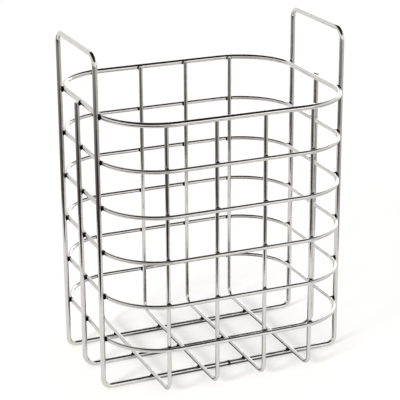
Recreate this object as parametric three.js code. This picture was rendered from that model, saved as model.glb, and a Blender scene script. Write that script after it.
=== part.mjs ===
// Sous vide basket: an open crate of round stainless wire with two fixed handles, spot welded at
// every crossing. The origin is on the table, under the middle of the basket. +X runs along its
// length from handle to handle, +Y across it and +Z up.

import * as THREE from "three";

// Driving dimensions, in millimetres

// Wire stock
const HEAVY_WIRE = 5; // diameter of the rim, the handle frame and the mid runner
const LIGHT_WIRE = 4; // diameter of the side hoops and the cross stays
const WELD_GAP = 0.3; // clearance between two wires where a weld joins them

// Hoops
const HOOP_LENGTH = 250; // over the outsides of the hoops' ends
const CLEAR_WIDTH = 201; // between the insides of the hoops' long sides
const HOOP_CORNER = 60; // outside radius of the hoops' corners
const SIDE_HOOPS = 5; // hoops under the rim
const HOOP_PITCH = 45; // from one hoop's centreline up to the next
const LOWEST_HOOP = 53; // from the table to the lowest hoop's centreline

// Handle frame and mid runner
const LEG_SPACING = 107; // between the centrelines of the frame's two legs at each end
const HANDLE_RISE = 58; // from the rim's centreline up to the handle bars' centreline
const HANDLE_BEND = 10; // centreline radius where the legs turn into the handle bars
const FOOT_BEND = 8; // centreline radius where the legs turn under the basket
const RUNNER_BEND = 12; // centreline radius where the mid runner turns under the basket

// Cross stays
const STAY_PITCH = 50; // from one stay's centreline to the next
const STAY_MARGIN = 50; // least distance from the hoops' ends to a stay's centreline
const STAY_BEND = 10; // centreline radius where the stays turn under the basket

// Facets of the round wire
const SECTION_SIDES = 12;
const BEND_STEPS = 5; // in each quarter turn of the frame, the runner and the stays
const CORNER_STEPS = 10; // in each corner of a hoop

// Heights that follow from them
const RIM_HEIGHT = LOWEST_HOOP + SIDE_HOOPS * HOOP_PITCH;
const RIM_TOP = RIM_HEIGHT + HEAVY_WIRE / 2;
const BAR_HEIGHT = RIM_HEIGHT + HANDLE_RISE;
const RUNNER_HEIGHT = HEAVY_WIRE / 2;
const FLOOR_HEIGHT = HEAVY_WIRE + WELD_GAP + LIGHT_WIRE / 2;

// The centreline of a wire: straight runs joined by round bends, as a bending machine makes it.
// It is sampled at the ends of the runs and at the steps of each bend, so that no faces are spent
// along a straight run.
class WirePath extends THREE.Curve {
  // corners holds the points where the runs would meet, each as { at, bend, steps }. The two ends
  // of an open wire have no bend.
  constructor(corners, closed) {
    super();
    const count = corners.length;
    const direction = (i) => {
      const from = corners[i % count].at;
      const to = corners[(i + 1) % count].at;
      return to.clone().sub(from).normalize();
    };
    this.stations = corners.flatMap((corner, i) => {
      if (!closed && i === 0) return [{ point: corner.at, tangent: direction(0) }];
      if (!closed && i === count - 1) return [{ point: corner.at, tangent: direction(i - 1) }];
      return bendStations(corner, direction(i + count - 1), direction(i));
    });
    this.segments = closed ? this.stations.length : this.stations.length - 1;
  }

  station(u) {
    return this.stations[Math.round(u * this.segments) % this.stations.length];
  }

  getPointAt(u, target = new THREE.Vector3()) {
    return target.copy(this.station(u).point);
  }

  getTangentAt(u, target = new THREE.Vector3()) {
    return target.copy(this.station(u).tangent);
  }

  // The frames are turned by half a facet, so that flats of the wire face along the axes on every
  // straight run.
  computeFrenetFrames(segments, closed) {
    const frames = super.computeFrenetFrames(segments, closed);
    const halfFacet = Math.PI / SECTION_SIDES;
    frames.tangents.forEach((tangent, i) => {
      frames.normals[i].applyAxisAngle(tangent, halfFacet);
      frames.binormals[i].applyAxisAngle(tangent, halfFacet);
    });
    return frames;
  }
}

// The points of a round bend from one direction to the next, and the wire's direction at each.
function bendStations({ at, bend, steps }, before, after) {
  const turn = before.angleTo(after);
  const inward = after.clone().addScaledVector(before, -Math.cos(turn)).normalize();
  const start = at.clone().addScaledVector(before, -bend * Math.tan(turn / 2));
  return Array.from({ length: steps + 1 }, (_, k) => {
    const angle = (turn * k) / steps;
    const point = start.clone();
    point.addScaledVector(before, bend * Math.sin(angle));
    point.addScaledVector(inward, bend * (1 - Math.cos(angle)));
    const tangent = before.clone().multiplyScalar(Math.cos(angle));
    tangent.addScaledVector(inward, Math.sin(angle));
    return { point, tangent };
  });
}

// From a wire's centreline to the edges between its facets. The flats lie on the wire's diameter.
function sectionRadius(diameter) {
  return diameter / 2 / Math.cos(Math.PI / SECTION_SIDES);
}

function closedWire(corners, diameter) {
  const path = new WirePath(corners, true);
  return new THREE.TubeGeometry(path, path.segments, sectionRadius(diameter), SECTION_SIDES, true);
}

function openWire(corners, diameter) {
  const path = new WirePath(corners, false);
  const radius = sectionRadius(diameter);
  const section = Array.from({ length: SECTION_SIDES }, (_, side) => {
    const angle = (2 * Math.PI * side) / SECTION_SIDES;
    return new THREE.Vector2(radius * Math.cos(angle), radius * Math.sin(angle));
  });
  return new THREE.ExtrudeGeometry(new THREE.Shape(section), {
    steps: path.segments,
    extrudePath: path,
    bevelEnabled: false,
  });
}

function wireMesh(name, geometry) {
  const stainless = new THREE.MeshStandardMaterial({ color: 0xc9c9c6, roughness: 0.2, metalness: 1 });
  const mesh = new THREE.Mesh(geometry, stainless);
  mesh.name = name;
  return mesh;
}

// Half the outside size of a hoop, and the centre of its corner arcs. All hoops have the same
// outside length, which the legs are welded to, and the same clear width inside, which the stays
// are welded to.
function hoopPlan(hoopWire) {
  const halfLength = HOOP_LENGTH / 2;
  const halfWidth = CLEAR_WIDTH / 2 + hoopWire;
  const cornerX = halfLength - HOOP_CORNER;
  const cornerY = halfWidth - HOOP_CORNER;
  return { halfLength, halfWidth, cornerX, cornerY };
}

function hoop(name, hoopWire, height) {
  const { halfLength, halfWidth } = hoopPlan(hoopWire);
  const x = halfLength - hoopWire / 2;
  const y = halfWidth - hoopWire / 2;
  const corner = (sideX, sideY) => ({
    at: new THREE.Vector3(sideX * x, sideY * y, height),
    bend: HOOP_CORNER - hoopWire / 2,
    steps: CORNER_STEPS,
  });
  const corners = [corner(-1, -1), corner(1, -1), corner(1, 1), corner(-1, 1)];
  return wireMesh(name, closedWire(corners, hoopWire));
}

// How far from the middle a leg stands at this y, so that it meets the outsides of all the hoops.
// Where it stands past the hoops' straight ends, it follows their corners.
function legSeat(y, legWire) {
  const seats = [HEAVY_WIRE, LIGHT_WIRE].map((hoopWire) => {
    const { cornerX, cornerY } = hoopPlan(hoopWire);
    const reach = HOOP_CORNER + WELD_GAP + legWire / 2;
    const past = Math.max(0, Math.abs(y) - cornerY);
    return cornerX + Math.sqrt(reach ** 2 - past ** 2);
  });
  return Math.max(...seats);
}

// How far from the middle a stay stands at this x, so that it meets the insides of all the hoops.
function staySeat(x, stayWire) {
  const seats = [HEAVY_WIRE, LIGHT_WIRE].map((hoopWire) => {
    const { cornerX, cornerY } = hoopPlan(hoopWire);
    const reach = HOOP_CORNER - hoopWire - WELD_GAP - stayWire / 2;
    const past = Math.max(0, Math.abs(x) - cornerX);
    return cornerY + Math.sqrt(reach ** 2 - past ** 2);
  });
  return Math.min(...seats);
}

// One closed wire: the front and back runners, the four legs and the two handle bars.
function handleFrame() {
  const y = LEG_SPACING / 2;
  const x = legSeat(y, HEAVY_WIRE);
  const corner = (sideX, sideY, height, bend) => ({
    at: new THREE.Vector3(sideX * x, sideY * y, height),
    bend,
    steps: BEND_STEPS,
  });
  const foot = (sideX, sideY) => corner(sideX, sideY, RUNNER_HEIGHT, FOOT_BEND);
  const grip = (sideX, sideY) => corner(sideX, sideY, BAR_HEIGHT, HANDLE_BEND);
  const frontHalf = [foot(-1, -1), foot(1, -1), grip(1, -1), grip(1, 1)];
  const backHalf = [foot(1, 1), foot(-1, 1), grip(-1, 1), grip(-1, -1)];
  return wireMesh("handle_frame", closedWire([...frontHalf, ...backHalf], HEAVY_WIRE));
}

// A wire bent into a U: two uprights at the seat's distance either side of the middle, cut level
// with the top of the rim, and a floor run at the given height. place turns a distance from the
// middle and a height into a point.
function bentU(name, diameter, bend, seat, floor, place) {
  const end = (side) => ({ at: place(side * seat, RIM_TOP) });
  const turn = (side) => ({ at: place(side * seat, floor), bend, steps: BEND_STEPS });
  return wireMesh(name, openWire([end(-1), turn(-1), turn(1), end(1)], diameter));
}

function midRunner() {
  const seat = legSeat(0, HEAVY_WIRE);
  const place = (x, z) => new THREE.Vector3(x, 0, z);
  return bentU("mid_runner", HEAVY_WIRE, RUNNER_BEND, seat, RUNNER_HEIGHT, place);
}

function crossStay(name, x) {
  const seat = staySeat(x, LIGHT_WIRE);
  const place = (y, z) => new THREE.Vector3(x, y, z);
  return bentU(name, LIGHT_WIRE, STAY_BEND, seat, FLOOR_HEIGHT, place);
}

const basket = new THREE.Group();
basket.name = "sous_vide_basket";

for (let i = 0; i < SIDE_HOOPS; i += 1) {
  basket.add(hoop(`side_hoop_${i + 1}`, LIGHT_WIRE, LOWEST_HOOP + i * HOOP_PITCH));
}
basket.add(hoop("rim_hoop", HEAVY_WIRE, RIM_HEIGHT));
basket.add(handleFrame());
basket.add(midRunner());

// As many stays as the length has room for, set out evenly from the middle.
const stayCount = 1 + Math.floor((HOOP_LENGTH - 2 * STAY_MARGIN) / STAY_PITCH);
for (let i = 0; i < stayCount; i += 1) {
  basket.add(crossStay(`cross_stay_${i + 1}`, (i - (stayCount - 1) / 2) * STAY_PITCH));
}

export default basket;
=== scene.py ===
"""Sous vide basket: the looks of an open crate of bright round wire, spot welded at every crossing.

Each bent wire is swept smooth and round along the centreline of its node. Small burnt welds fill the
crossings, and one drawn stainless steel covers them all. Lengths are in metres.
"""

import math
from types import SimpleNamespace

import bmesh
import bpy
import numpy as np
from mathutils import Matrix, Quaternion, Vector


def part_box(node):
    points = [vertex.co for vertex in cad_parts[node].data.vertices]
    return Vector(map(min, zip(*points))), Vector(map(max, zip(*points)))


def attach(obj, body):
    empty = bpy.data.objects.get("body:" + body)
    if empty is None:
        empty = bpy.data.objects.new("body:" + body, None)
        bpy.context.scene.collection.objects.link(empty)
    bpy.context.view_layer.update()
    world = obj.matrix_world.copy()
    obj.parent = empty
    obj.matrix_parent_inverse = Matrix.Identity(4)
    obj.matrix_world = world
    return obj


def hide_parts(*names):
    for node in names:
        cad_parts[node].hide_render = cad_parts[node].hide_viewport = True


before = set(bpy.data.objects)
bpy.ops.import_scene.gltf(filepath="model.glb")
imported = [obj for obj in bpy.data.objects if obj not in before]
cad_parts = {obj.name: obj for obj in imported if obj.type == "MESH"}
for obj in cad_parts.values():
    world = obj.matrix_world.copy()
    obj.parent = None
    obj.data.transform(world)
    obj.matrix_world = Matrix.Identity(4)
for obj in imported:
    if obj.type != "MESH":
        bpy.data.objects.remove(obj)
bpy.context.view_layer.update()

MM = 0.001
BODY = "root"
X_AXIS, Y_AXIS, Z_AXIS = np.eye(3)

# Bends and cut ends of the wires, which the frame's boxes don't give
HOOP_CORNER = 60 * MM  # outside radius
HANDLE_BEND = 10 * MM  # centreline radius, like the next three
FOOT_BEND = 8 * MM
RUNNER_BEND = 12 * MM
STAY_BEND = 10 * MM
STAY_DROP = 1.2 * MM  # how far under the rim's top the stays are cut
RUNNER_DROP = 1.4 * MM  # and the mid runner's -X end

# Welds
WELD_TOE = 1.2 * MM  # how far a weld shows past the sides of an upright or a floor bar
WELD_RISE = 0.3 * MM  # and past the top and bottom of a hoop, or the sides of a runner
WELD_DEPTH = 1.2 * MM  # half its thickness, from wire to wire
CUT_CLEAR = 3.4 * MM  # least distance of a weld's middle under the top of an upright's node
CUT_RISE = 1.9 * MM  # and how far such a weld reaches up and down
WELD_VARIETY = 0.14  # how much the welds differ in size, as a share
WELD_LUMPS = 0.07  # how uneven a weld's outline is, as a share
LUMP_WAVES = (2, 3)  # waves of that unevenness around a weld
WELD_SEED = 7
BURNT_PAST = 0.3 * MM  # how far past the sides of an upright or a floor bar the steel is black
TINTED_PAST = 1.2 * MM  # and how far it is tinted
UPRIGHT_LESS = 0.5 * MM  # how much smaller the mark is on the uprights and runners
BUTT_WELD_X = 7 * MM  # where the handle frame is closed, on its front runner
BUTT_SWELL = 0.3 * MM
BUTT_WIDTH = 0.9 * MM
BUTT_BURNT = 0.08 * MM  # the same two limits there, counted out from the wire's surface
BUTT_TINTED = 0.5 * MM

# Meshes
SECTION_SIDES = 24
RUN_STEP = 8 * MM
BEND_STEP = 1.5 * MM
WELD_STEP = 0.8 * MM  # along the wires near a weld
WELD_REACH = 4 * MM  # how far from the wire's surface a weld counts as near
LEAST_STEP = 0.1 * MM
CUT_EDGE = 0.6 * MM  # rounding of a cut end
CUT_STEPS = 4
WELD_SEGMENTS = 18
WELD_RINGS = 9
BAKE_MAP = "OFBake"
BAKE_MARGIN = 0.03  # of a strip's width, left free on each side

# The photograph's camera
CAMERA_TARGET = Vector((-1.79, -2.21, 162.35)) * MM
CAMERA_DISTANCE = 1538.9 * MM
CAMERA_AZIMUTH = math.radians(-23.0)
CAMERA_ELEVATION = math.radians(19.7)
CAMERA_ROLL = math.radians(-0.3)
CAMERA_LENS = 137.6  # on a sensor 36 wide

# Steel
LINE_GRAIN = (60, 5000, 5000)  # draw lines, per metre along the wire and across it
LINE_DETAIL = 3.0
LINE_DEPTH = 0.02 * MM
LINE_BUMP = 0.2
LINE_SHARE = 0.5  # of the lines in the steel's tone, and the rest is the clouds
CLOUD_GRAIN = 140  # duller clouds, per metre
CLOUD_DETAIL = 3.0
CLOUD_SPAN = (0.35, 0.65)  # of the clouds, over which the steel goes from polished to dull
SCALE_GRAIN = 1400  # burnt scale, per metre
SCALE_DETAIL = 4.0
SCALE_RAGGED = 0.5  # how ragged the edge of a heat mark is
STEEL_TONES = ((0.3, (0.582, 0.57, 0.553)), (0.7, (0.712, 0.70, 0.680)))
CUT_TONE = (0.95, 0.945, 0.935)  # of the ground cut ends
HEAT_TONES = (
    (0.0, (0.55, 0.50, 0.42)),
    (0.25, (0.24, 0.20, 0.16)),
    (0.45, (0.05, 0.048, 0.048)),
    (0.65, (0.010, 0.010, 0.010)),
)
HEAT_FADE = (0.02, 0.3)  # of the heat, over which these tones come in
HEAT_DULLS = (0.3, 0.9)  # and over which it dulls the steel
STEEL_ROUGHNESS = (0.06, 0.11)
CUT_ROUGHNESS = 0.2
BURNT_ROUGHNESS = 0.55

# Light
AMBIENT = 0.80
KEY_STRENGTH = 3.4
KEY_SPREAD = math.radians(15.0)
KEY_AZIMUTH = math.radians(208.0)
KEY_ELEVATION = math.radians(19.0)
FLOOR_SIZE = 14.0
FLOOR_COLOUR = (0.973, 0.95, 0.917)
# Painted light: the floor glows white, for the camera and in the steel, more away from the basket than near
# it, which paints the basket's shadow out to the right and behind
FLOOR_PAINTED_GLOW = (0.30, 0.85)  # share of the floor's look that is a painted white glow, near the basket and away from it
FLOOR_RIGHT = (0.130, 0.170)  # where along +X that share grows
FLOOR_BACK = (0.080, 0.200)  # and where along +Y

# Cards that the steel mirrors. Right and back are as the camera sees them from the origin.
SURROUND = (  # outline of what lies around the white paper, as (right, back)
    (-5.0, -5.0),
    (5.0, -5.0),
    (5.0, 0.6),
    (0.4, 0.6),
    (0.4, -0.38),
    (0.12, -0.38),
    (-0.55, -0.21),
    (-0.55, 0.5),
    (-5.0, 0.5),
)
SURROUND_WIDTH = 2.0  # of the stretch that the next tones cover
SURROUND_TONES = (  # from its left to its right
    (0.05, (0.260, 0.250, 0.237)),
    (0.25, (0.110, 0.102, 0.094)),
    (0.35, (0.030, 0.026, 0.023)),
    (0.57, (0.030, 0.026, 0.023)),
    (0.62, (0.100, 0.093, 0.085)),
    (0.67, (0.26, 0.25, 0.237)),
    (0.74, (0.46, 0.45, 0.43)),
    (0.88, (0.68, 0.67, 0.65)),
)
FAR_TONE = (0.31, 0.30, 0.285)
FAR_FROM = 0.9  # distance from the origin at which the surround starts to grow paler
FAR_TO = 1.3  # and at which it stops
CARD_LIFT = 0.5 * MM
CEILING_HEIGHT = 1.2
CEILING = ((-1.2, -1.5), (1.3, -1.5), (1.3, 2.2), (1.1, 2.2), (0.3, 1.3), (-1.2, 1.3))  # as (x, y)
CEILING_PALER = (1, -0.1)  # the way in which it grows paler
CEILING_FADE = (0.75, 1.1)
CEILING_TONES = (0.02, 0.7)
PANELS = {  # upright light panels: bearing from +Y towards +X, distance, half width, height and strength
    "front_panel": (math.radians(158), 2.2, 0.7, 1.8, 1.45),
    "right_panel": (math.radians(46), 1.5, 0.6, 1.0, 2.1),
}
SHADE = (-0.095, 0.120, -0.100, 0.105)  # left, right, front and back edges of the paper in the shade
SHADE_TONE = 0.10
SHADE_FADE = 0.6  # share of the way to its edges from which the shade fades out


# The wires, measured on the frame


def wire_of(node, axis):
    """The thickness of a node along an axis that none of its runs follows: its wire's diameter."""
    low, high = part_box(node)
    return high[axis] - low[axis]


def hoop_plan(node):
    """A hoop's wire, and its centreline: half its length and width, its corner radius and its height."""
    low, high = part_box(node)
    wire = wire_of(node, 2)
    return SimpleNamespace(
        node=node,
        wire=wire,
        x=high.x - wire / 2,
        y=high.y - wire / 2,
        z=(low.z + high.z) / 2,
        corner=HOOP_CORNER - wire / 2,
    )


HEAVY_WIRE = wire_of("mid_runner", 1)
LIGHT_WIRE = wire_of("cross_stay_1", 0)
HOOPS = [hoop_plan(node) for node in sorted(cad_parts) if "hoop" in node]
STAYS = [node for node in sorted(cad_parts) if node.startswith("cross_stay")]


def upright_places():
    """Where the uprights stand and how high their nodes reach, as (x, y, top, wire)."""
    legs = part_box("handle_frame")[1]
    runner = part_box("mid_runner")[1]
    places = []
    for side in (-1, 1):
        x = side * (legs.x - HEAVY_WIRE / 2)
        y = legs.y - HEAVY_WIRE / 2
        places += [(x, -y, legs.z, HEAVY_WIRE), (x, y, legs.z, HEAVY_WIRE)]
        places.append((side * (runner.x - HEAVY_WIRE / 2), 0.0, runner.z, HEAVY_WIRE))
    for node in STAYS:
        low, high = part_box(node)
        for y in (low.y + LIGHT_WIRE / 2, high.y - LIGHT_WIRE / 2):
            places.append(((low.x + high.x) / 2, y, high.z, LIGHT_WIRE))
    return places


def unit(vector):
    return vector / np.linalg.norm(vector)


def nearest_on_hoop(hoop, x, y):
    """The point of a hoop's centreline that is nearest to an upright."""
    core = np.array([hoop.x - hoop.corner, hoop.y - hoop.corner])
    place = np.array([x, y])
    middle = np.clip(place, -core, core)
    return np.append(middle + hoop.corner * unit(place - middle), hoop.z)


# Welds


def hoop_welds(hoop):
    """The welds of a hoop to the uprights. Under the cut end of an upright they keep lower and shorter."""
    welds = []
    for x, y, top, wire in upright_places():
        on_hoop = nearest_on_hoop(hoop, x, y)
        on_upright = np.array([x, y, hoop.z])
        across = unit(on_upright - on_hoop)
        surfaces = on_hoop + across * hoop.wire / 2, on_upright - across * wire / 2
        drop = max(0, hoop.z + CUT_CLEAR - top)
        rise = CUT_RISE if drop else hoop.wire / 2 + WELD_RISE
        welds.append(
            SimpleNamespace(
                centre=(surfaces[0] + surfaces[1]) / 2 - Z_AXIS * drop,
                wire=wire,
                across=across,
                sides=(Z_AXIS, np.cross(across, Z_AXIS)),
                reaches=(rise, wire / 2 + WELD_TOE),
            )
        )
    return welds


def floor_welds():
    """The welds of the floor bars to the three runners."""
    runner_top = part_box("mid_runner")[0].z + HEAVY_WIRE
    runner_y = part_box("handle_frame")[1].y - HEAVY_WIRE / 2
    welds = []
    for node in STAYS:
        low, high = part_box(node)
        for y in (-runner_y, 0.0, runner_y):
            welds.append(
                SimpleNamespace(
                    centre=np.array([(low.x + high.x) / 2, y, (low.z + runner_top) / 2]),
                    wire=LIGHT_WIRE,
                    across=Z_AXIS,
                    sides=(Y_AXIS, -X_AXIS),
                    reaches=(HEAVY_WIRE / 2 + WELD_RISE, LIGHT_WIRE / 2 + WELD_TOE),
                )
            )
    return welds


def butt_weld_place():
    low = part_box("handle_frame")[0]
    return np.array([BUTT_WELD_X, low.y + HEAVY_WIRE / 2, low.z + HEAVY_WIRE / 2])


WELDS = {f"{hoop.node}_welds": hoop_welds(hoop) for hoop in HOOPS}
WELDS["floor_bar_welds"] = floor_welds()
WELD_CENTRES = np.array([weld.centre for welds in WELDS.values() for weld in welds])
WELD_RADII = np.array([weld.wire / 2 for welds in WELDS.values() for weld in welds])


def heat_at(points, less):
    """How burnt the steel is near its welds, from 0 to 1. less makes the marks smaller."""
    gaps = points[:, None, :] - WELD_CENTRES[None, :, :]
    spot = (np.linalg.norm(gaps, axis=2) - WELD_RADII).min(1) + less
    heat = (TINTED_PAST - spot) / (TINTED_PAST - BURNT_PAST)
    butt = np.linalg.norm(points - butt_weld_place(), axis=1) - HEAVY_WIRE / 2
    butt_heat = (BUTT_TINTED - butt) / (BUTT_TINTED - BUTT_BURNT)
    return np.clip(np.maximum(heat, butt_heat), 0, 1)


# Bent wires


class Centreline:
    """The centreline of a bent wire: straight runs joined by round bends.

    points are where the runs would meet, with the wire's two ends, and bends are the radii between them.
    """

    def __init__(self, points, bends):
        self.parts = []
        self.length = 0.0
        points = [np.array(point, float) for point in points]
        start = points[0]
        for before, corner, after, bend in zip(points, points[1:], points[2:], bends):
            into = unit(corner - before)
            out = unit(after - corner)
            turn = math.acos(np.clip(into @ out, -1, 1))
            reach = bend * math.tan(turn / 2)
            self.add_run(start, corner - into * reach)
            self.add_bend(corner - into * reach, into, out, bend, turn)
            start = corner + out * reach
        self.add_run(start, points[-1])

    def add_run(self, start, end):
        direction = unit(end - start)

        def place(distance):
            return start + distance * direction, np.ones_like(distance) * direction

        self.add_part(np.linalg.norm(end - start), RUN_STEP, place)

    def add_bend(self, start, into, out, bend, turn):
        inward = unit(out - into * math.cos(turn))

        def place(distance):
            angle = distance / bend
            point = start + bend * (np.sin(angle) * into + (1 - np.cos(angle)) * inward)
            return point, np.cos(angle) * into + np.sin(angle) * inward

        self.add_part(bend * turn, BEND_STEP, place)

    def add_part(self, length, step, place):
        self.parts.append((self.length, length, step, place))
        self.length += length

    def at(self, distances):
        """The points and the directions of the wire at these distances from its start."""
        starts = [start for start, _, _, _ in self.parts]
        owner = np.searchsorted(starts, distances, side="right") - 1
        points = np.empty((len(distances), 3))
        directions = np.empty((len(distances), 3))
        for index, (start, _, _, place) in enumerate(self.parts):
            mine = owner == index
            points[mine], directions[mine] = place((distances[mine] - start)[:, None])
        return points, directions

    def stations(self, wire, folds):
        """Where along the wire it gets a ring of points: fewer on runs, and more at bends and welds."""
        marks = [folds]
        for start, length, step, _ in self.parts:
            marks.append(np.linspace(start, start + length, 1 + math.ceil(length / step)))
        close = np.arange(0, self.length, WELD_STEP)
        spots = np.vstack([WELD_CENTRES, butt_weld_place()])
        gaps = np.linalg.norm(self.at(close)[0][:, None, :] - spots[None, :, :], axis=2).min(1)
        marks.append(close[gaps < wire / 2 + WELD_REACH])
        rounded = np.unique(np.round(np.concatenate(marks) / LEAST_STEP)) * LEAST_STEP
        inner = rounded[(rounded > LEAST_STEP / 2) & (rounded < self.length - LEAST_STEP)]
        return np.concatenate([[0.0], inner, [self.length]])


def carried_normals(directions, first):
    """A direction across the wire at each station, carried along it without twist."""
    normals = [first]
    for direction in directions[1:]:
        last = normals[-1]
        normals.append(unit(last - (last @ direction) * direction))
    return np.array(normals)


def cut_ends(distances, radii, length):
    """Rounds the two cut ends of an open wire with a few more rings."""
    angles = np.linspace(0, math.pi / 2, CUT_STEPS)
    inset = CUT_EDGE * (1 - np.cos(angles))
    drop = CUT_EDGE * (1 - np.sin(angles))
    kept = (distances > CUT_EDGE + LEAST_STEP) & (distances < length - CUT_EDGE - LEAST_STEP)
    radius = radii[0]
    distances = np.concatenate([inset, distances[kept], length - inset[::-1]])
    radii = np.concatenate([radius - drop, radii[kept], radius - drop[::-1]])
    return distances, radii


def fold_marks(length, wire):
    """Where a wire's surface is cut into strips of its map, as wide as the wire is round."""
    strips = max(1, round(math.sqrt(length / (math.pi * wire))))
    marks = np.round(np.linspace(0, length, strips + 1) / LEAST_STEP) * LEAST_STEP
    marks[-1] = length
    return marks


def ways_out(normals, binormals):
    """The directions from the centreline to the points of each ring."""
    angles = 2 * math.pi * np.arange(SECTION_SIDES) / SECTION_SIDES
    cosines = np.cos(angles)[None, :, None]
    sines = np.sin(angles)[None, :, None]
    return cosines * normals[:, None, :] + sines * binormals[:, None, :]


def ring_numbers(normals, binormals, closed):
    """The numbers of each ring's points. A closed wire's last ring is its first one, turned to fit."""
    count = len(normals)
    numbers = np.arange(count * SECTION_SIDES).reshape(count, SECTION_SIDES)
    if closed:
        turned = math.atan2(normals[-1] @ binormals[0], normals[-1] @ normals[0])
        shift = round(turned / (2 * math.pi) * SECTION_SIDES)
        numbers[-1] = np.roll(numbers[0], -shift)
    return numbers


def swept_wire(name, line, wire, closed, first_normal, less=0.0, swell=None):
    """A round wire along its centreline. swell adds to its radius, by the distance and the way out."""
    folds = fold_marks(line.length, wire)
    distances = line.stations(wire, folds)
    radii = np.full(len(distances), wire / 2)
    if not closed:
        distances, radii = cut_ends(distances, radii, line.length)
    points, directions = line.at(distances)
    normals = carried_normals(directions, first_normal)
    binormals = np.cross(directions, normals)
    outward = ways_out(normals, binormals)
    reach = np.repeat(radii[:, None], SECTION_SIDES, 1)
    if swell:
        reach = reach + swell(distances, outward)
    rings = points[:, None, :] + outward * reach[:, :, None]
    if closed:
        rings = rings[:-1]

    numbers = ring_numbers(normals, binormals, closed)
    ahead = np.roll(numbers, -1, 1)
    faces = np.stack([numbers[:-1], ahead[:-1], ahead[1:], numbers[1:]], -1).reshape(-1, 4).tolist()
    along = face_corners(np.repeat(distances[:, None], SECTION_SIDES + 1, 1))
    turns = np.arange(SECTION_SIDES + 1) / SECTION_SIDES
    around = face_corners(np.repeat(turns[None, :], len(distances), 0))
    places = wire_places(along, around, wire)
    spots = strip_map(along, around, folds, closed)
    if not closed:
        faces += [numbers[0][::-1].tolist(), numbers[-1].tolist()]
        places, spots = add_cut_faces(places, spots, line.length, wire, len(folds))
    return build_piece(name, rings.reshape(-1, 3), faces, places, spots, less)


def face_corners(grid):
    """The four corner values of each face of a grid of rings, in the order of the faces."""
    corners = [grid[:-1, :-1], grid[:-1, 1:], grid[1:, 1:], grid[1:, :-1]]
    return np.stack(corners, -1).reshape(-1, 4)


def wire_places(along, around, wire):
    """Places on the wire as if it were straight, for patterns that follow it."""
    angle = 2 * math.pi * around
    radius = wire / 2
    return np.stack([along, radius * np.cos(angle), radius * np.sin(angle)], -1).reshape(-1, 3)


def strip_map(along, around, folds, closed):
    """The wire's surface laid out as strips under each other, with one more strip for cut ends."""
    strips = len(folds) - 1
    rows = strips if closed else strips + 1
    strip = np.searchsorted(folds, along.mean(1), side="right") - 1
    strip = np.clip(strip, 0, strips - 1)[:, None]
    u = (along - folds[strip]) / (folds[strip + 1] - folds[strip])
    v = (strip + BAKE_MARGIN + (1 - 2 * BAKE_MARGIN) * around) / rows
    u = BAKE_MARGIN / rows + (1 - 2 * BAKE_MARGIN / rows) * u
    return np.stack([u, v], -1).reshape(-1, 2)


def add_cut_faces(places, spots, length, wire, rows):
    """The two cut faces: their places, and their discs in the last strip of the map."""
    turns = np.arange(SECTION_SIDES) / SECTION_SIDES
    disc = np.stack([np.cos(2 * math.pi * turns), np.sin(2 * math.pi * turns)], -1)
    radius = 0.5 * (1 - 2 * BAKE_MARGIN) / rows
    for number, (end, order) in enumerate(((0.0, -1), (length, 1))):
        middle = np.array([(number + 0.5) / rows, (rows - 0.5) / rows])
        spots = np.vstack([spots, (middle + radius * disc)[::order]])
        ends = np.full(SECTION_SIDES, end)
        places = np.vstack([places, wire_places(ends, turns, wire)[::order]])
    return places, spots


def build_piece(name, points, faces, places, spots, less):
    """A steel piece of the basket from its points and faces, with what its material reads on them."""
    mesh = bpy.data.meshes.new(name)
    mesh.from_pydata(points.tolist(), [], faces)
    mesh.update()
    cut = np.array([len(face) > 4 for face in faces])
    mesh.polygons.foreach_set("use_smooth", ~cut)
    cut_face = mesh.attributes.new("cut_face", "FLOAT", "FACE")
    cut_face.data.foreach_set("value", cut.astype(np.float32))
    heat = mesh.attributes.new("weld_heat", "FLOAT", "POINT")
    heat.data.foreach_set("value", heat_at(points, less).astype(np.float32))
    place = mesh.attributes.new("wire_place", "FLOAT_VECTOR", "CORNER")
    place.data.foreach_set("vector", places.astype(np.float32).ravel())
    layer = mesh.uv_layers.new(name=BAKE_MAP)
    layer.uv.foreach_set("vector", spots.astype(np.float32).ravel())
    mesh.materials.append(STEEL)
    piece = bpy.data.objects.new(name, mesh)
    bpy.context.scene.collection.objects.link(piece)
    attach(piece, BODY)
    return piece


def hoop_wire(hoop):
    x, y, z = hoop.x, hoop.y, hoop.z
    seam = (0, y, z)
    points = [seam, (-x, y, z), (-x, -y, z), (x, -y, z), (x, y, z), seam]
    line = Centreline(points, [hoop.corner] * 4)
    piece = swept_wire(f"{hoop.node}_wire", line, hoop.wire, True, Z_AXIS)
    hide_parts(hoop.node)


def butt_swell(length):
    """The bead where the handle frame is closed. It is dressed flush underneath, where it stands."""

    def swell(distances, outward):
        gap = np.minimum(distances, length - distances)
        bead = BUTT_SWELL * np.exp(-((gap / BUTT_WIDTH) ** 2))
        return bead[:, None] * np.clip(1 + outward[:, :, 2], 0, 1)

    return swell


def handle_frame_wire():
    low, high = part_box("handle_frame")
    x = high.x - HEAVY_WIRE / 2
    y = high.y - HEAVY_WIRE / 2
    foot = low.z + HEAVY_WIRE / 2
    bar = high.z - HEAVY_WIRE / 2
    seam = butt_weld_place()
    right = [(x, -y, foot), (x, -y, bar), (x, y, bar), (x, y, foot)]
    left = [(-x, y, foot), (-x, y, bar), (-x, -y, bar), (-x, -y, foot)]
    end_bends = [FOOT_BEND, HANDLE_BEND, HANDLE_BEND, FOOT_BEND]
    line = Centreline([seam, *right, *left, seam], end_bends * 2)
    swell = butt_swell(line.length)
    piece = swept_wire("handle_frame_wire", line, HEAVY_WIRE, True, Z_AXIS, UPRIGHT_LESS, swell)
    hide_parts("handle_frame")


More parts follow.
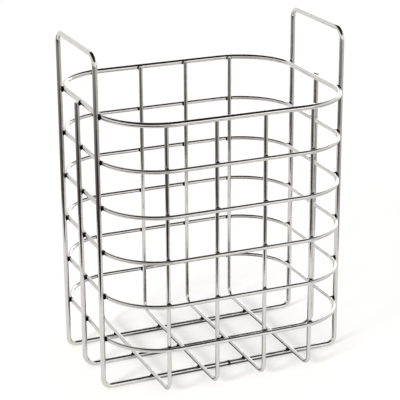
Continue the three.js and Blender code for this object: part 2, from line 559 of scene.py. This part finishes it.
def mid_runner_wire():
    low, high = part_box("mid_runner")
    x = high.x - HEAVY_WIRE / 2
    floor = low.z + HEAVY_WIRE / 2
    points = [(-x, 0, high.z - RUNNER_DROP), (-x, 0, floor), (x, 0, floor), (x, 0, high.z)]
    line = Centreline(points, [RUNNER_BEND] * 2)
    piece = swept_wire("mid_runner_wire", line, HEAVY_WIRE, False, Y_AXIS, UPRIGHT_LESS)
    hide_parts("mid_runner")


def cross_stay_wire(node):
    low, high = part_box(node)
    x = (low.x + high.x) / 2
    y = high.y - LIGHT_WIRE / 2
    floor = low.z + LIGHT_WIRE / 2
    end = high.z - STAY_DROP
    points = [(x, y, end), (x, y, floor), (x, -y, floor), (x, -y, end)]
    line = Centreline(points, [STAY_BEND] * 2)
    piece = swept_wire(f"{node}_wire", line, LIGHT_WIRE, False, X_AXIS, UPRIGHT_LESS / 2)
    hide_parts(node)


def bead_form():
    """A ball of unit size: its points, its faces, and the place of each face corner on its map."""
    ball = bmesh.new()
    layer = ball.loops.layers.uv.new(BAKE_MAP)
    sizes = {"u_segments": WELD_SEGMENTS, "v_segments": WELD_RINGS, "radius": 1}
    bmesh.ops.create_uvsphere(ball, **sizes, calc_uvs=True)
    ball.verts.index_update()
    points = np.array([vertex.co for vertex in ball.verts])
    faces = np.array([len(face.verts) for face in ball.faces])
    corners = [vertex.index for face in ball.faces for vertex in face.verts]
    spots = np.array([loop[layer].uv for face in ball.faces for loop in face.loops])
    ball.free()
    return points, np.split(np.array(corners), np.cumsum(faces)[:-1]), spots


def weld_group(name, welds, random):
    """The welds of one wire as one piece: flattened, slightly lumpy beads between the two wires."""
    ball, ball_faces, ball_spots = bead_form()
    around = np.arctan2(ball[:, 1], ball[:, 0])
    columns = math.ceil(math.sqrt(len(welds)))
    points, faces, places, spots = [], [], [], []
    for number, weld in enumerate(welds):
        size = 1 + WELD_VARIETY * random.uniform(-1, 1, 3)
        phases = random.uniform(0, 2 * math.pi, len(LUMP_WAVES))
        waves = [np.sin(count * around + phase) for count, phase in zip(LUMP_WAVES, phases)]
        lumps = 1 + WELD_LUMPS * sum(waves)
        reach = np.array([*weld.reaches, WELD_DEPTH]) * size
        local = ball * reach * np.stack([lumps, lumps, np.ones_like(lumps)], -1)
        bead = weld.centre + local @ np.array([*weld.sides, weld.across])
        points.append(bead)
        faces += [(face + number * len(ball)).tolist() for face in ball_faces]
        places.append(bead[np.concatenate(ball_faces)])
        cell = np.array([number % columns, number // columns])
        spots.append((cell + BAKE_MARGIN + (1 - 2 * BAKE_MARGIN) * ball_spots) / columns)
    return build_piece(name, np.vstack(points), faces, np.vstack(places), np.vstack(spots), -WELD_TOE)


# Materials


def add_node(tree, kind, sockets, **settings):
    """A shader node with its settings, and with its sockets set or linked."""
    made = tree.nodes.new(kind)
    for name, value in settings.items():
        setattr(made, name, value)
    for socket, value in sockets.items():
        if isinstance(value, bpy.types.NodeSocket):
            tree.links.new(value, made.inputs[socket])
        else:
            made.inputs[socket].default_value = value
    return made


def add_ramp(tree, factor, stops):
    """A colour that goes through the stops as the factor goes from 0 to 1."""
    ramp = add_node(tree, "ShaderNodeValToRGB", {"Fac": factor})
    elements = ramp.color_ramp.elements
    while len(elements) < len(stops):
        elements.new(1.0)
    for element, (position, colour) in zip(elements, stops):
        element.position = position
        element.color = (*colour, 1.0)
    return ramp.outputs["Color"]


def add_range(tree, value, old, new):
    """A value that goes over one range, moved evenly to another and kept inside it."""
    sockets = {"Value": value, "From Min": old[0], "From Max": old[1], "To Min": new[0], "To Max": new[1]}
    return add_node(tree, "ShaderNodeMapRange", sockets).outputs["Result"]


def add_math(tree, operation, *values):
    return add_node(tree, "ShaderNodeMath", dict(enumerate(values)), operation=operation).outputs["Value"]


def add_noise(tree, place, scale, detail):
    sockets = {"Vector": place, "Scale": scale, "Detail": detail}
    return add_node(tree, "ShaderNodeTexNoise", sockets).outputs["Fac"]


def add_mix(tree, factor, first, second, blend="MIX"):
    """A colour between two others."""
    mix = add_node(tree, "ShaderNodeMix", {0: factor}, data_type="RGBA", blend_type=blend)
    for socket, value in ((mix.inputs[6], first), (mix.inputs[7], second)):
        if isinstance(value, bpy.types.NodeSocket):
            tree.links.new(value, socket)
        else:
            socket.default_value = (*value, 1.0)
    return mix.outputs[2]


def add_reach(tree):
    """How far a place lies from the origin."""
    place = add_node(tree, "ShaderNodeNewGeometry", {}).outputs["Position"]
    return add_node(tree, "ShaderNodeVectorMath", {0: place}, operation="LENGTH").outputs["Value"]


def add_distance(tree, direction):
    """How far a place lies from the origin in a level direction."""
    place = add_node(tree, "ShaderNodeNewGeometry", {}).outputs["Position"]
    dot = add_node(tree, "ShaderNodeVectorMath", {0: place, 1: (*direction, 0)}, operation="DOT_PRODUCT")
    return dot.outputs["Value"]


def add_glow(tree, sockets):
    """Ends a material as a paint that glows by itself."""
    paint = add_node(tree, "ShaderNodeEmission", sockets)
    add_node(tree, "ShaderNodeOutputMaterial", {"Surface": paint.outputs["Emission"]})


def new_material(name):
    material = bpy.data.materials.new(name)
    material.use_nodes = True
    material.node_tree.nodes.clear()
    return material, material.node_tree


def drawn_stainless():
    """Bright drawn stainless wire, with lines along it, duller clouds, and dark heat marks at its welds."""
    material, tree = new_material("drawn_stainless")
    place = add_node(tree, "ShaderNodeAttribute", {}, attribute_name="wire_place").outputs["Vector"]
    heat = add_node(tree, "ShaderNodeAttribute", {}, attribute_name="weld_heat").outputs["Fac"]
    stretched = add_node(tree, "ShaderNodeVectorMath", {0: place, 1: LINE_GRAIN}, operation="MULTIPLY")
    lines = add_noise(tree, stretched.outputs["Vector"], 1.0, LINE_DETAIL)
    clouds = add_noise(tree, place, CLOUD_GRAIN, CLOUD_DETAIL)
    speckle = add_noise(tree, place, SCALE_GRAIN, SCALE_DETAIL)

    ragged = add_math(tree, "MULTIPLY_ADD", speckle, SCALE_RAGGED, -SCALE_RAGGED / 2)
    burnt = add_math(tree, "ADD", heat, ragged)
    cloudy = add_math(tree, "MULTIPLY", clouds, 1 - LINE_SHARE)
    mottled = add_math(tree, "MULTIPLY_ADD", lines, LINE_SHARE, cloudy)
    steel = add_ramp(tree, mottled, STEEL_TONES)
    tint = add_ramp(tree, burnt, HEAT_TONES)
    colour = add_mix(tree, add_range(tree, burnt, HEAT_FADE, (0, 1)), steel, tint)
    cut = add_node(tree, "ShaderNodeAttribute", {}, attribute_name="cut_face").outputs["Fac"]
    colour = add_mix(tree, cut, colour, CUT_TONE)

    polish = add_range(tree, clouds, CLOUD_SPAN, STEEL_ROUGHNESS)
    dullness = add_range(tree, burnt, HEAT_DULLS, (0.0, BURNT_ROUGHNESS))
    ground = add_math(tree, "MULTIPLY", cut, CUT_ROUGHNESS)
    roughness = add_math(tree, "MAXIMUM", add_math(tree, "MAXIMUM", polish, dullness), ground)
    grooves = {"Strength": LINE_BUMP, "Distance": LINE_DEPTH, "Height": lines}
    bump = add_node(tree, "ShaderNodeBump", grooves).outputs["Normal"]
    sockets = {"Base Color": colour, "Roughness": roughness, "Normal": bump, "Metallic": 1.0}
    steel_shader = add_node(tree, "ShaderNodeBsdfPrincipled", sockets)
    add_node(tree, "ShaderNodeOutputMaterial", {"Surface": steel_shader.outputs["BSDF"]})
    return material


def seen_or_mirrored(tree):
    """1 where the camera sees a surface itself or in metal or glass, and 0 where it only lights others."""
    path = add_node(tree, "ShaderNodeLightPath", {})
    direct = add_math(tree, "MAXIMUM", path.outputs["Is Camera Ray"], path.outputs["Is Glossy Ray"])
    return add_math(tree, "MAXIMUM", direct, path.outputs["Is Transmission Ray"])


def floor_paper():
    """White paper that keeps the basket's soft shadow near it, under a painted white glow that grows away
    from the basket and paints the shadow out to the right and behind.
    """
    material, tree = new_material("floor_paper")
    paper = add_node(tree, "ShaderNodeBsdfDiffuse", {"Color": (*FLOOR_COLOUR, 1.0)})
    white = add_node(tree, "ShaderNodeEmission", {"Strength": 1.0})
    right = add_range(tree, add_distance(tree, (1, 0)), FLOOR_RIGHT, FLOOR_PAINTED_GLOW)
    back = add_range(tree, add_distance(tree, (0, 1)), FLOOR_BACK, FLOOR_PAINTED_GLOW)
    share = add_math(tree, "MAXIMUM", right, back)
    # painted light: how much of the floor is painted white glow, for the camera and in the steel
    painted_glow = add_math(tree, "MULTIPLY", seen_or_mirrored(tree), share)
    looks = {0: painted_glow, 1: paper.outputs["BSDF"], 2: white.outputs["Emission"]}
    mix = add_node(tree, "ShaderNodeMixShader", looks)
    add_node(tree, "ShaderNodeOutputMaterial", {"Surface": mix.outputs["Shader"]})
    return material


def surround_paint():
    """Paint for what lies around the paper: dark in front, and paler to the right and far off."""
    material, tree = new_material("surround_paint")
    half = SURROUND_WIDTH / 2
    across = add_range(tree, add_distance(tree, seen_from(1, 0)), (-half, half), (0, 1))
    tone = add_ramp(tree, across, SURROUND_TONES)
    far = add_range(tree, add_reach(tree), (FAR_FROM, FAR_TO), (0, 1))
    colour = add_mix(tree, far, tone, FAR_TONE, "LIGHTEN")
    add_glow(tree, {"Color": colour, "Strength": 1.0})
    return material


def ceiling_paint():
    material, tree = new_material("ceiling_paint")
    tone = add_range(tree, add_distance(tree, CEILING_PALER), CEILING_FADE, CEILING_TONES)
    add_glow(tree, {"Strength": tone})
    return material


def panel_paint(strength):
    material, tree = new_material("panel_paint")
    add_glow(tree, {"Strength": strength})
    return material


def shade_paint():
    """The paper under the basket, which the wires over it keep from the light."""
    material, tree = new_material("shade_paint")
    left, right, front, back = SHADE
    shares = []
    for direction, low, high in (((1, 0), left, right), ((0, 1), front, back)):
        across = add_range(tree, add_distance(tree, direction), (low, high), (-1, 1))
        shares.append(add_math(tree, "ABSOLUTE", across))
    outer = add_math(tree, "MAXIMUM", *shares)
    tone = add_range(tree, outer, (SHADE_FADE, 1), (SHADE_TONE, 1))
    add_glow(tree, {"Strength": tone})
    return material


# Stage, light and camera


def level_sheet(name, corners, height, material):
    """A level sheet of the studio."""
    return flat_sheet(name, [(x, y, height) for x, y in corners], material)


def flat_sheet(name, corners, material):
    mesh = bpy.data.meshes.new(name)
    mesh.from_pydata(corners, [], [range(len(corners))])
    mesh.materials.append(material)
    sheet = bpy.data.objects.new(name, mesh)
    bpy.context.scene.collection.objects.link(sheet)
    return sheet


def mirrored_only(card):
    """A card that only shows in the steel: it neither stands in the picture nor shades anything."""
    card.visible_camera = False
    card.visible_diffuse = False
    card.visible_shadow = False
    card.visible_transmission = False
    card.visible_volume_scatter = False


def seen_from(right, away):
    """A point of the floor, by how far right of the origin and how far behind it the camera sees it."""
    sine = math.sin(CAMERA_AZIMUTH)
    cosine = math.cos(CAMERA_AZIMUTH)
    return right * cosine - away * sine, right * sine + away * cosine


def rectangle(left, right, front, back):
    return [(left, front), (right, front), (right, back), (left, back)]


def light_panel(name, bearing, distance, half, height, strength):
    """A light panel that stands on the floor, square to its bearing from the origin."""
    sine = math.sin(bearing)
    cosine = math.cos(bearing)
    ends = [(distance * sine + side * cosine, distance * cosine - side * sine) for side in (-half, half)]
    corners = [(*ends[0], 0), (*ends[1], 0), (*ends[1], height), (*ends[0], height)]
    mirrored_only(flat_sheet(name, corners, panel_paint(strength)))


def build_stage():
    half = FLOOR_SIZE / 2
    level_sheet("floor", rectangle(-half, half, -half, half), 0.0, floor_paper())
    corners = [seen_from(*place) for place in SURROUND]
    mirrored_only(level_sheet("surround_card", corners, CARD_LIFT, surround_paint()))
    mirrored_only(level_sheet("shade_card", rectangle(*SHADE), CARD_LIFT, shade_paint()))
    mirrored_only(level_sheet("ceiling_card", CEILING, CEILING_HEIGHT, ceiling_paint()))
    for name, sizes in PANELS.items():
        light_panel(name, *sizes)


def build_light():
    world = bpy.data.worlds.new("studio")
    world.use_nodes = True
    world.node_tree.nodes.clear()
    tree = world.node_tree
    strength = add_range(tree, seen_or_mirrored(tree), (0, 1), (AMBIENT, 1.0))
    sky = add_node(tree, "ShaderNodeBackground", {"Color": (1, 1, 1, 1), "Strength": strength})
    add_node(tree, "ShaderNodeOutputWorld", {"Surface": sky.outputs["Background"]})
    bpy.context.scene.world = world

    lamp = bpy.data.lights.new("key", "SUN")
    lamp.angle = KEY_SPREAD
    lamp.energy = KEY_STRENGTH
    level = math.cos(KEY_ELEVATION)
    toward = Vector((level * math.cos(KEY_AZIMUTH), level * math.sin(KEY_AZIMUTH), math.sin(KEY_ELEVATION)))
    key = bpy.data.objects.new("key", lamp)
    key.rotation_euler = (-toward).to_track_quat("-Z", "Y").to_euler()
    key.visible_glossy = False
    bpy.context.scene.collection.objects.link(key)


def build_camera():
    level = math.cos(CAMERA_ELEVATION)
    forward = Vector(
        (-level * math.sin(CAMERA_AZIMUTH), level * math.cos(CAMERA_AZIMUTH), -math.sin(CAMERA_ELEVATION))
    )
    camera = bpy.data.objects.new("camera", bpy.data.cameras.new("camera"))
    camera.data.lens = CAMERA_LENS
    camera.location = CAMERA_TARGET - forward * CAMERA_DISTANCE
    roll = Quaternion((0, 0, 1), CAMERA_ROLL)
    camera.rotation_euler = (forward.to_track_quat("-Z", "Y") @ roll).to_euler()
    bpy.context.scene.collection.objects.link(camera)
    bpy.context.scene.camera = camera


# The basket on its stage

STEEL = drawn_stainless()
for hoop in HOOPS:
    hoop_wire(hoop)
handle_frame_wire()
mid_runner_wire()
for node in STAYS:
    cross_stay_wire(node)
weld_random = np.random.default_rng(WELD_SEED)
for name, welds in WELDS.items():
    weld_group(name, welds, weld_random)

bpy.context.scene.view_settings.view_transform = "Standard"
build_stage()
build_light()
build_camera()
